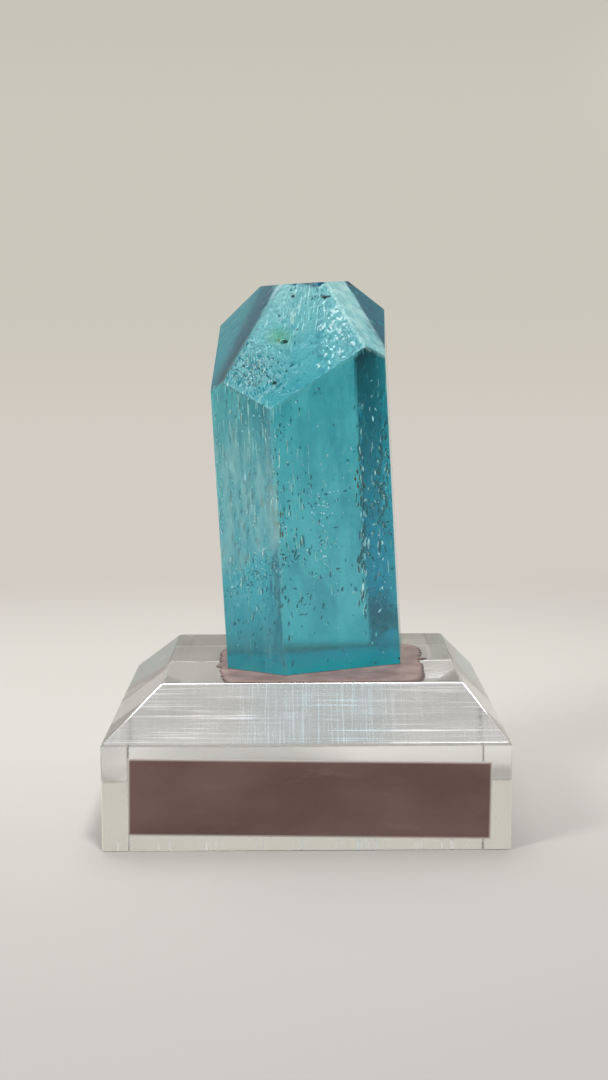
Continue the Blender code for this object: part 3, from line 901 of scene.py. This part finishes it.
# %% Scatter the silk and the glints
# Silk is thick under the left front face and thin elsewhere, and glows faintly as painted light.
# Glints are one sparkling patch, the veils, single needles and cracks, and bright edges beside some
# dark grains; they are painted glints, glowing by their own emission.
TURNED = (1.0, 0.4)
GLINT_DARK = (0.05, 0.20, 0.23, 1)
GLINT_BRIGHT = (0.55, 0.90, 0.92, 1)
GLINT_PATCHES = 0.5 * MM
EDGE_SHIFT = 0.10 * MM
EDGE_SHARE = 0.20
SILK_CLOUDS = [
    (LEFT, 130, (3.0, 15.0), (1.9, 4.6), (0.15, 2.0), (0.05, 0.02, 0.9), (0.03, 0.0)),
    (LEFT, 140, (3.0, 13.0), (2.0, 6.0), (0.15, 1.5), (0.07, 0.03, 0.16), (0.3, 0.0)),
    (MAIN, 60, (2.0, 14.5), (1.4, 5.0), (0.2, 3.0), (0.035, 0.02, 0.9), (0.03, 0.0)),
    (MAIN, 110, (5.0, 11.0), (3.0, 5.0), (0.2, 2.0), (0.06, 0.03, 0.14), (0.3, 0.0)),
    (MAIN, 14, (10.0, 13.5), (0.9, 5.5), (0.15, 1.5), (0.04, 0.02, 0.7), (0.03, 0.0)),
    (FRONT, 60, (5.6, 10.6), (1.4, 2.0), (0.1, 1.0), (0.04, 0.02, 0.9), (0.05, 0.0)),
    (FRONT, 26, (5.4, 12.0), (1.5, 1.2), (0.05, 0.5), (0.03, 0.02, 0.8), (0.05, 0.0)),
]
GLINT_CLOUDS = [
    (MAIN, 34, (4.6, 14.0), (0.50, 1.0), (0.2, 1.0), (0.13, 0.03, 0.09), TURNED),
    (MAIN, 20, (0.8, 11.4), (0.5, 0.5), (0.2, 0.8), (0.12, 0.03, 0.10), TURNED),
    (MAIN, 16, (4.9, 11.6), (0.2, 1.4), (0.2, 0.8), (0.09, 0.03, 0.16), TURNED),
    (MAIN, 26, (9.7, 11.0), (0.7, 4.5), (0.1, 0.7), (0.09, 0.03, 0.24), (0.5, 0.1)),
    (MAIN, 1, (5.4, 6.8), (0.01, 0.01), (0.3, 0.4), (0.11, 0.05, 1.4), (0.02, -0.08)),
    (MAIN, 22, (8.5, 10.0), (0.22, 5.0), (0.1, 0.5), (0.11, 0.03, 0.50), (0.12, 0.0)),
    (LEFT, 2, (3.0, 15.6), (0.05, 0.3), (0.2, 0.3), (0.07, 0.03, 1.0), (0.05, 0.0)),
    (LEFT, 60, (3.0, 15.5), (2.0, 5.0), (0.15, 1.5), (0.08, 0.03, 0.12), TURNED),
]
GLINT_BANDS = [
    (LEFT, 30, (0.6, 6.4), (6.2, 9.4), 0.3, (0.15, 0.8), (0.08, 0.03, 0.10), TURNED),
    (MAIN, 12, (0.2, 9.2), (5.4, 11.0), 0.3, (0.15, 0.8), (0.08, 0.03, 0.10), TURNED),
]
FRONT_GLINTS = [
    (FRONT, 80, (8.9, 8.6), (0.8, 2.0), (0.05, 0.3), (0.13, 0.03, 0.34), (0.6, 0.2)),
]
silk = Finish("silk_thread", Roughness=0.5, Base_Color=(0.95, 0.98, 0.92, 1))
# Painted light: the threads glow faintly, for the backlight that real silk scatters.
silk.feed(silk.surface, {"Emission Color": (0.60, 1.0, 0.90, 1), "Emission Strength": 0.15})
glint = Finish("glint_flake", Roughness=0.12, Base_Color=(1.0, 1.0, 1.0, 1))
# Painted glints: the flakes glow by their own emission, brighter in patches.
flash = glint.noise(glint.place(), GLINT_PATCHES, 1.0, 0.5).step(0.40, 0.62)
flash_colour = glint.mix(flash, GLINT_DARK, GLINT_BRIGHT)
glint.feed(glint.surface, {"Emission Color": flash_colour, "Emission Strength": 0.45})
add_inclusions("silk_threads", drifts(dice, SILK_CLOUDS), silk, dice)
# Painted highlights: glowing flakes beside a share of the dark grains.
painted_highlight_edges = beside(dark_drifts, EDGE_SHIFT, EDGE_SHARE, dice)
glint_drifts = drifts(dice, GLINT_CLOUDS) + drifts(dice, GLINT_BANDS, band) + drifts(dice, FRONT_GLINTS)
add_inclusions("glint_flakes", glint_drifts + [painted_highlight_edges], glint, dice)

# %% [markdown]
# ## The block
# The stand is a square block of clear acrylic with its four top edges sawn off at a slope. On the
# real block every face was polished, and the front slope least of all: fine scratches run
# along it, some across, and short saw marks are left at the foot of the front. The block could be
# carved by booleans, but its few corners are quicker to write down, and one bevel eases its edges.

# %% Shape the block
POLISHED_EDGE = 0.22 * MM
LOW_EDGE_SHARE = 0.35
FRONT_EDGE_SHARE = 0.5
BEVEL_HEIGHT = 3.85 * MM
BEVEL_RUNS = {"left": 4.40 * MM, "right": 3.40 * MM, "front": 4.70 * MM, "back": 4.70 * MM}
ACRYLIC_IOR = 1.49
ACRYLIC_COLOUR = (0.90, 0.93, 0.92)
ACRYLIC_DENSITY = 8.0
half = base_high[0]
shoulder = base_high[2] - BEVEL_HEIGHT
front_edge = -half + BEVEL_RUNS["front"]


def block_points():
    """Four corners at each of three heights: the underside, the shoulder and the top."""
    wide = [(-half, -half), (half, -half), (half, half), (-half, half)]
    left, right = -half + BEVEL_RUNS["left"], half - BEVEL_RUNS["right"]
    back_edge = half - BEVEL_RUNS["back"]
    narrow = [(left, front_edge), (right, front_edge), (right, back_edge), (left, back_edge)]
    rings = [(wide, 0.0), (wide, shoulder), (narrow, base_high[2])]
    return np.array([(x, y, height) for ring, height in rings for x, y in ring])


print("the block's shoulder is", round(shoulder / MM, 2), "mm high")

# %% Mix the acrylic
SCRATCH_WHITE = (0.97, 0.94, 0.97, 1)
# Painted light: the slope's film is tinted blue under the crystal, where light comes down through it.
SCRATCH_PAINTED_TEAL = (0.74, 0.87, 0.96, 1)
SCRATCH_WIDTH = 0.16 * MM
SCRATCH_PATCHES = 1.6 * MM
CROSS_WIDTH = 0.15 * MM
CROSS_MIDDLE = 1.0 * MM
CROSS_REACH = (3.0 * MM, 8.0 * MM)
SAW_WIDTH = 0.16 * MM
SAW_PATCHES = 3.0 * MM
SAW_TOP = (0.5 * MM, 1.25 * MM)
HAZE_WIDTH = 2.5 * MM
POLISH_WIDTH = 0.15 * MM
POLISH_DEPTH = 0.003 * MM
FILM_LET_THROUGH = 0.15


def acrylic_finish():
    """Clear acrylic whose front slope is hazy and scratched, its film painted bluish under the crystal as
    light through the crystal would tint it, with saw marks at the front's foot.
    """
    clear = {"IOR": ACRYLIC_IOR, "Transmission_Weight": 1.0, "Base_Color": (1, 1, 1, 1)}
    finish = Finish("clear_acrylic", **clear)
    finish.soak(ACRYLIC_COLOUR, ACRYLIC_DENSITY)
    slope = np.array([0, -BEVEL_HEIGHT, BEVEL_RUNS["front"]])
    slope = slope / np.linalg.norm(slope)
    on_slope = finish.near_plane(slope.tolist(), float(slope @ [0, -half, shoulder]))
    on_front = finish.near_plane((0, -1, 0), float(half))
    haze = finish.noise(finish.place(scale=(0.25, 1, 1)), HAZE_WIDTH, 3.0, 0.6)
    along = finish.noise(finish.place(scale=(0.012, 1, 1)), SCRATCH_WIDTH, 2.0, 0.7).step(0.52, 0.66)
    patches = finish.noise(finish.place(scale=(0.3, 1, 1)), SCRATCH_PATCHES, 2.0, 0.5).step(0.45, 0.68)
    across = finish.noise(finish.place(scale=(1, 0.02, 0.02)), CROSS_WIDTH, 2.0, 0.7).step(0.50, 0.68)
    middle = finish.part(0) - CROSS_MIDDLE
    under_crystal = 1 - middle.math("ABSOLUTE", middle).step(*CROSS_REACH)
    sawn = finish.noise(finish.place(scale=(1, 1, 0.01)), SAW_WIDTH, 2.0, 0.7).step(0.52, 0.62)
    sawn_places = finish.noise(finish.place(scale=(1, 0.01, 0.01)), SAW_PATCHES, 1.0, 0.5).step(0.47, 0.56)
    saw_marks = on_front * sawn * sawn_places * (1 - finish.part(2).step(*SAW_TOP))
    scratches = on_slope * (along * (0.25 + 0.75 * patches) + 0.45 * across * (0.2 + 0.8 * under_crystal))
    fine = finish.noise(finish.place(scale=(0.05, 0.3, 1)), POLISH_WIDTH, 3.0, 0.6)
    film = 0.62 * scratches + 0.60 * saw_marks + 0.42 * on_slope * haze
    # Painted light: the film turns blue under the crystal.
    finish.whiten(film, finish.mix(under_crystal, SCRATCH_WHITE, SCRATCH_PAINTED_TEAL), FILM_LET_THROUGH)
    roughness = 0.02 + 0.03 * fine + 0.16 * on_slope * haze
    finish.feed(finish.surface, {"Roughness": roughness, "Normal": finish.bump(fine, POLISH_DEPTH)})
    return finish


print("scratches are about", SCRATCH_WIDTH / MM, "mm wide")

# %% Close the block
LOWEST_CORNERS = 4
BACK_SHOULDER = [6, 7]
FRONT_TOP = [8, 9]


def make_block():
    """Closes the rings of corners with an underside, sides, slopes and a top, then eases the edges,
    least at the underside and at the back."""
    sides = grid_faces(3, 4, round_columns=True)
    faces = np.concatenate([[[3, 2, 1, 0], [8, 9, 10, 11]], sides])
    finish = acrylic_finish()
    block = add_piece("acrylic_block", block_points(), faces, finish, smooth=False)
    ends = np.empty(2 * len(block.data.edges), dtype=np.int32)
    block.data.edges.foreach_get("vertices", ends)
    ends = np.sort(ends.reshape(-1, 2), axis=1)
    lowest = (ends < LOWEST_CORNERS).all(axis=1) | (ends == BACK_SHOULDER).all(axis=1)
    weight = block.data.attributes.new("bevel_weight_edge", "FLOAT", "EDGE")
    share = np.where(lowest, LOW_EDGE_SHARE, 1.0)
    share[(ends == FRONT_TOP).all(axis=1)] = FRONT_EDGE_SHARE
    weight.data.foreach_set("value", share.astype(np.float32))
    edges = block.modifiers.new("polished_edges", "BEVEL")
    edges.width = POLISHED_EDGE
    edges.segments = 4
    edges.limit_method = "WEIGHT"
    edges.harden_normals = True
    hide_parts("acrylic_base")


make_block()

# %% [markdown]
# ## The adhesive
# The crystal sits in a film of clear glue. It was pressed out to a ragged edge, furthest on the
# right, ran to the block's front edge and climbs a little up the crystal. Its outline was read off
# the real one as distances round the foot. Rings of points carry it inwards: up over its rim, level
# to the crystal, up its sides, and then under it as a milky film that lights the foot from below;
# its teal colour and faint glow there are painted light.

# %% Spread the adhesive
PAD_OUTLINE = [
    (8.79, 5.26), (9.40, 5.04), (9.82, 4.27), (10.04, 2.66), (9.90, -0.90), (10.33, -1.29),
    (9.84, -1.70), (9.72, -2.81), (9.69, -4.97), (9.79, -7.06), (9.64, -9.50), (9.18, -11.09),
    (8.60, -11.60), (0.0, -12.0), (-6.40, -11.60), (-6.80, -9.0), (-7.00, -5.42), (-7.39, -3.85),
    (-7.24, -3.20), (-7.38, -1.88), (-7.15, -0.52), (-7.39, 1.77), (-7.07, 3.34), (-6.20, 5.60),
    (-3.60, 8.20), (0.20, 9.60), (4.20, 9.70), (7.60, 7.50),
]
PAD_STEPS = 480
PAD_RAGGED = 0.12 * MM
PAD_RIM = 0.05 * MM
PAD_LEVEL = 0.10 * MM
PAD_CLIMB = (0.16 * MM, 0.24 * MM, 0.30 * MM)
PAD_SETBACK = 0.05 * MM
foot_corners = polygons[face_names.index("foot")]
foot_middle = foot_corners.mean(axis=0)[:2]


def polygon_reach(angle, outline):
    """How far a closed outline lies from the foot's middle in each direction: the ray from the
    middle along w meets the line from a to b at the distance (a x b) / (w x (b - a))."""
    way = np.stack([np.cos(angle), np.sin(angle)], axis=-1)[:, None]
    start = outline - foot_middle
    side = np.roll(start, -1, axis=0) - start
    across = start[:, 0] * side[:, 1] - start[:, 1] * side[:, 0]
    slant = way[..., 0] * side[:, 1] - way[..., 1] * side[:, 0]
    reach = across / np.where(np.abs(slant) < 1e-12, 1e-12, slant)
    spot = reach[..., None] * way - start
    share = (spot * side).sum(axis=-1) / (side * side).sum(axis=-1)
    met = (reach > 0) & (share > -1e-6) & (share < 1 + 1e-6)
    return np.where(met, reach, np.inf).min(axis=1)


def ragged(angle, dice):
    """Small waves on the outline: a sum of sines, finer ones lower."""
    counts = np.arange(9, 90, 5)
    phases = dice.uniform(0, 2 * math.pi, len(counts))
    waves = np.sin(counts * angle[:, None] + phases) * (9 / counts) ** 0.5
    return PAD_RAGGED * waves.sum(axis=1) / 2


def pad_points(dice):
    """Rings of points, each a blend of the outline and the crystal's foot: from the middle of the
    underside out to the rim, and back over the top and up and under the crystal. With them go
    two shares for each ring: how far it is under the crystal, and how near the outer rim."""
    angle = np.linspace(0, 2 * math.pi, PAD_STEPS, endpoint=False)
    rim = polygon_reach(angle, np.array(PAD_OUTLINE) * MM) + ragged(angle, dice)
    foot = polygon_reach(angle, foot_corners[:, :2])
    top = FILM_THICKNESS + CONTACT
    rings = [(1.05, -CONTACT, 0.5, 0), (1.0, -CONTACT, 0, 0), (0.0, -CONTACT, 0, 1)]
    rings += [(0.0, 0.3 * PAD_RIM, 0, 1), (0.05, PAD_RIM, 0, 1), (0.16, PAD_LEVEL, 0, 0)]
    rings += [(0.5, PAD_LEVEL, 0, 0), (0.85, 1.1 * PAD_LEVEL, 0, 0), (0.93, PAD_CLIMB[0], 0, 0)]
    rings += [(0.98, PAD_CLIMB[1], 0, 0), (1.01, PAD_CLIMB[2], 0, 0), (1.05, top, 1, 0)]
    share, lift, under, rim_share = (np.array(part)[:, None] for part in zip(*rings))
    inwards = np.where(share > 1, foot * (2 - share), rim + share * (foot - rim))
    x = foot_middle[0] + inwards * np.cos(angle)
    y = np.maximum(foot_middle[1] + inwards * np.sin(angle), front_edge + PAD_SETBACK)
    z = np.broadcast_to(base_high[2] + lift, x.shape)
    points = np.stack([x, y, z], axis=-1).reshape(-1, 3)
    shares = [np.broadcast_to(part, x.shape).reshape(-1) for part in (under, rim_share)]
    return points, shares, len(rings)


print("the pad's outline has", len(PAD_OUTLINE), "corners")

# %% Mix the adhesive
PAD_DARK = (0.28, 0.185, 0.175, 1)
PAD_LIGHT = (0.37, 0.26, 0.245, 1)
# Painted shade: the glue is darker along its outer rim.
PAD_RIM_SHADE = (0.13, 0.085, 0.08, 1)
PAD_CLOUDS = 1.8 * MM
PAD_WRINKLES = 0.30 * MM
PAD_WRINKLE_DEPTH = 0.02 * MM
# Painted light: under the crystal the film is teal and glows faintly, for the light coming down the
# crystal.
FOOT_PAINTED_TEAL = (0.06, 0.95, 0.88, 1)
FOOT_PAINTED_GLOW = (0.02, 0.80, 0.72, 1)
BLACK = (0, 0, 0, 1)


def adhesive_finish():
    """Milky and a little mauve, cloudy and finely wrinkled, darker along the rim as painted shade, and
    teal with a faint glow under the crystal as painted light.
    """
    finish = Finish("clear_adhesive", IOR=ACRYLIC_IOR, Specular_IOR_Level=0.1)
    clouds = finish.noise(finish.place(), PAD_CLOUDS, 4.0, 0.6)
    wrinkles = finish.noise(finish.place(), PAD_WRINKLES, 3.0, 0.6)
    colour = finish.mix(clouds.step(0.35, 0.65), PAD_DARK, PAD_LIGHT)
    # Painted shade along the rim.
    colour = finish.mix(finish.attribute("rim"), colour, PAD_RIM_SHADE)
    # Painted light: teal colour and a faint glow under the crystal.
    colour = finish.mix(finish.attribute("under"), colour, FOOT_PAINTED_TEAL)
    painted_foot_glow = finish.mix(finish.attribute("under"), BLACK, FOOT_PAINTED_GLOW)
    relief = finish.bump(wrinkles, PAD_WRINKLE_DEPTH)
    sockets = {"Base Color": colour, "Roughness": 0.25 + 0.25 * wrinkles, "Normal": relief}
    sockets.update({"Emission Color": painted_foot_glow, "Emission Strength": 0.05})
    finish.feed(finish.surface, sockets)
    return finish


def make_adhesive():
    """Joins the rings, closes them below and under the crystal, and paints the two shares on."""
    points, shares, rings = pad_points(np.random.default_rng(FIRST_SEED + 2))
    sides = grid_faces(rings, PAD_STEPS, round_columns=True)
    under = np.arange(PAD_STEPS)[None, ::-1]
    film = np.arange(PAD_STEPS)[None] + (rings - 1) * PAD_STEPS
    pad = add_piece("adhesive_film", points, [sides, under, film], adhesive_finish())
    paint_number(pad.data, "under", shares[0])
    paint_number(pad.data, "rim", shares[1])
    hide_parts("glue_pad")


make_adhesive()

# %% [markdown]
# ## The label
# A strip of matt tape is stuck on the front, slightly askew. It is bare, so that whoever reuses the
# part can say what it says. The tape is a thin closed sheet that lies almost flat, with a faint
# waviness, so the light drifts across it as it does on real tape.

# %% Stick on the label
LABEL_WIDTH = 28.1 * MM
LABEL_HEIGHT = 6.1 * MM
LABEL_SKEW = math.radians(0.85)
LABEL_THICKNESS = 0.14 * MM
LABEL_WAVE = 0.012 * MM
LABEL_WAVE_SIZES = (2.1 * MM, 1.7 * MM)
LABEL_EDGE_DROP = 0.05 * MM
LABEL_EDGE_ROUND = 0.10 * MM
LABEL_EDGE_PALE = 0.12 * MM
LABEL_ROWS = 32
LABEL_COLUMNS = 140
label_middle = (label_low + label_high) / 2


def label_points():
    """A front and a back grid: x and z turned by the skew, and y waved by two slow sines. With
    them goes how near each point is to the strip's cut edge."""
    x, z = np.meshgrid(np.linspace(-0.5, 0.5, LABEL_COLUMNS), np.linspace(-0.5, 0.5, LABEL_ROWS))
    edge = np.minimum(LABEL_WIDTH * (0.5 - np.abs(x)), LABEL_HEIGHT * (0.5 - np.abs(z)))
    drop = LABEL_EDGE_DROP * np.clip(1 - edge / LABEL_EDGE_ROUND, 0, 1) ** 2
    x, z = x * LABEL_WIDTH, z * LABEL_HEIGHT
    wave = LABEL_WAVE * (np.sin(x / LABEL_WAVE_SIZES[0] + 1.0) * np.cos(z / LABEL_WAVE_SIZES[1]) - 1)
    front = -half - LABEL_THICKNESS - wave + drop
    back = np.full(x.shape, -half + CONTACT)
    across = label_middle[0] + x * math.cos(LABEL_SKEW) + z * math.sin(LABEL_SKEW)
    up = label_middle[2] - x * math.sin(LABEL_SKEW) + z * math.cos(LABEL_SKEW)
    sheets = [np.stack([across, y, up], axis=-1).reshape(-1, 3) for y in (front, back)]
    near_edge = np.clip(1 - edge / LABEL_EDGE_PALE, 0, 1).reshape(-1)
    return np.concatenate(sheets), np.concatenate([near_edge, near_edge])


def label_faces():
    """Two grids, the back one turned over, and a strip of faces round their rim."""
    front = grid_faces(LABEL_ROWS, LABEL_COLUMNS)
    index = np.arange(LABEL_ROWS * LABEL_COLUMNS).reshape(LABEL_ROWS, LABEL_COLUMNS)
    rim = np.concatenate([index[0, :-1], index[:-1, -1], index[-1, :0:-1], index[:0:-1, 0]])
    after = np.roll(rim, -1)
    count = index.size
    strip = np.stack([after, rim, rim + count, after + count], axis=-1)
    return np.concatenate([front, front[:, ::-1] + count, strip])


print("the label is", LABEL_WIDTH / MM, "by", LABEL_HEIGHT / MM, "mm")

# %% Mix the tape
# Painted shade: the pale tape's colours are darkened, with a reddish cast of painted reflected light.
TAPE_SHADE_DARK = (0.108, 0.056, 0.050, 1)
TAPE_SHADE_LIGHT = (0.160, 0.090, 0.082, 1)
TAPE_WORN_IN_SHADE = (0.26, 0.165, 0.15, 1)
TAPE_EDGE = (0.66, 0.60, 0.58, 1)
TAPE_GRAIN = 0.14 * MM
TAPE_GRAIN_DEPTH = 0.010 * MM
TAPE_BLOOM = 4.0 * MM
TAPE_RUBS = 0.9 * MM
TAPE_SHARP = math.radians(35)


def tape_finish():
    """Pale tape painted dull mauve-grey as if in shade under reddish reflected light, with a fine grain, a
    faint bloom and a few rubbed places.
    """
    finish = Finish("label_tape", IOR=1.5)
    grain = finish.noise(finish.place(scale=(1, 0.1, 1)), TAPE_GRAIN, 3.0, 0.6)
    bloom = finish.noise(finish.place(scale=(0.5, 0.1, 1)), TAPE_BLOOM, 3.0, 0.5)
    rubbed = finish.noise(finish.place(scale=(0.2, 0.1, 1)), TAPE_RUBS, 4.0, 0.6).step(0.58, 0.75)
    colour = finish.mix(bloom.step(0.3, 0.7), TAPE_SHADE_DARK, TAPE_SHADE_LIGHT)
    colour = finish.mix(0.15 * grain + 0.25 * rubbed, colour, TAPE_WORN_IN_SHADE)
    colour = finish.mix(finish.attribute("edge"), colour, TAPE_EDGE)
    relief = finish.bump(grain, TAPE_GRAIN_DEPTH)
    sockets = {"Base Color": colour, "Roughness": 0.42 + 0.2 * rubbed, "Normal": relief}
    finish.feed(finish.surface, sockets)
    return finish


strip_points, strip_edge = label_points()
tape = add_piece("label_strip", strip_points, label_faces(), tape_finish())
paint_number(tape.data, "edge", strip_edge)
tape.data.set_sharp_from_angle(angle=TAPE_SHARP)
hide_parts("label")
